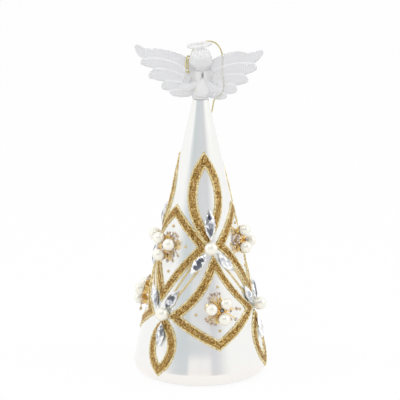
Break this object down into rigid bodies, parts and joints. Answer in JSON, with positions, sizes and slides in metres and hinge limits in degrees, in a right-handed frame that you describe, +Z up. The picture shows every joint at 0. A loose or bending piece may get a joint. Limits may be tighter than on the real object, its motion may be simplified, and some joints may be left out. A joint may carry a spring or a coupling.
{
  "type": "glass angel ornament",
  "caption": "Free-standing glass angel ornament: a pearl-lacquered cone dress with glitter bands, pearls and crystals under a clear glass bust with wings, a halo and a hanging cord.",
  "frame": {"origin": "centre of the flat foot that the dress stands on", "axes": "+Z up along the dress's axis, the angel faces -Y, +X is to the right of a viewer facing it"},
  "size_m": [0.0769, 0.077, 0.191],
  "materials": {
    "pearl_lacquered_glass": "glossy pearl-silver lacquer on blown glass",
    "gold_glitter": "gold glitter in glue",
    "gold_outliner": "raised metallic gold line",
    "pearl": "pearlescent",
    "foiled_crystal": "clear faceted, silver foil back",
    "clear_glass": "clear lampworked glass, slightly frosted",
    "gold_thread": "metallic gold thread"
  },
  "bodies": {
    "root": {"channel_trim_1a": "gold_outliner", "channel_trim_1b": "gold_outliner", "channel_trim_2a": "gold_outliner", "channel_trim_2b": "gold_outliner", "channel_trim_3a": "gold_outliner", "channel_trim_3b": "gold_outliner", "cord_knot": "gold_thread", "dress_shell": "pearl_lacquered_glass", "halo": "clear_glass", "hanging_cord": "gold_thread", "head": "clear_glass", "left_sleeve": "clear_glass", "left_wing": "clear_glass", "lower_crystal_1a": "foiled_crystal", "lower_crystal_1b": "foiled_crystal", "lower_crystal_1c": "foiled_crystal", "lower_crystal_2a": "foiled_crystal", "lower_crystal_2b": "foiled_crystal", "lower_crystal_2c": "foiled_crystal", "lower_crystal_3a": "foiled_crystal", "lower_crystal_3b": "foiled_crystal", "lower_crystal_3c": "foiled_crystal", "lower_diamond_band_1": "gold_glitter", "lower_diamond_band_2": "gold_glitter", "lower_diamond_band_3": "gold_glitter", "lower_leaf_band_1": "gold_glitter", "lower_leaf_band_2": "gold_glitter", "lower_leaf_band_3": "gold_glitter", "lower_pearl_1": "pearl", "lower_pearl_2": "pearl", "lower_pearl_3": "pearl", "lower_pearl_spray_1": "pearl", "lower_pearl_spray_2": "pearl", "lower_pearl_spray_3": "pearl", "right_sleeve": "clear_glass", "right_wing": "clear_glass", "torso": "clear_glass", "upper_crystal_1a": "foiled_crystal", "upper_crystal_1b": "foiled_crystal", "upper_crystal_1c": "foiled_crystal", "upper_crystal_2a": "foiled_crystal", "upper_crystal_2b": "foiled_crystal", "upper_crystal_2c": "foiled_crystal", "upper_crystal_3a": "foiled_crystal", "upper_crystal_3b": "foiled_crystal", "upper_crystal_3c": "foiled_crystal", "upper_diamond_band_1": "gold_glitter", "upper_diamond_band_2": "gold_glitter", "upper_diamond_band_3": "gold_glitter", "upper_leaf_band_1": "gold_glitter", "upper_leaf_band_2": "gold_glitter", "upper_leaf_band_3": "gold_glitter", "upper_pearl_1": "pearl", "upper_pearl_2": "pearl", "upper_pearl_3": "pearl", "upper_pearl_spray_1": "pearl", "upper_pearl_spray_2": "pearl", "upper_pearl_spray_3": "pearl"}
  },
  "joints": []
}
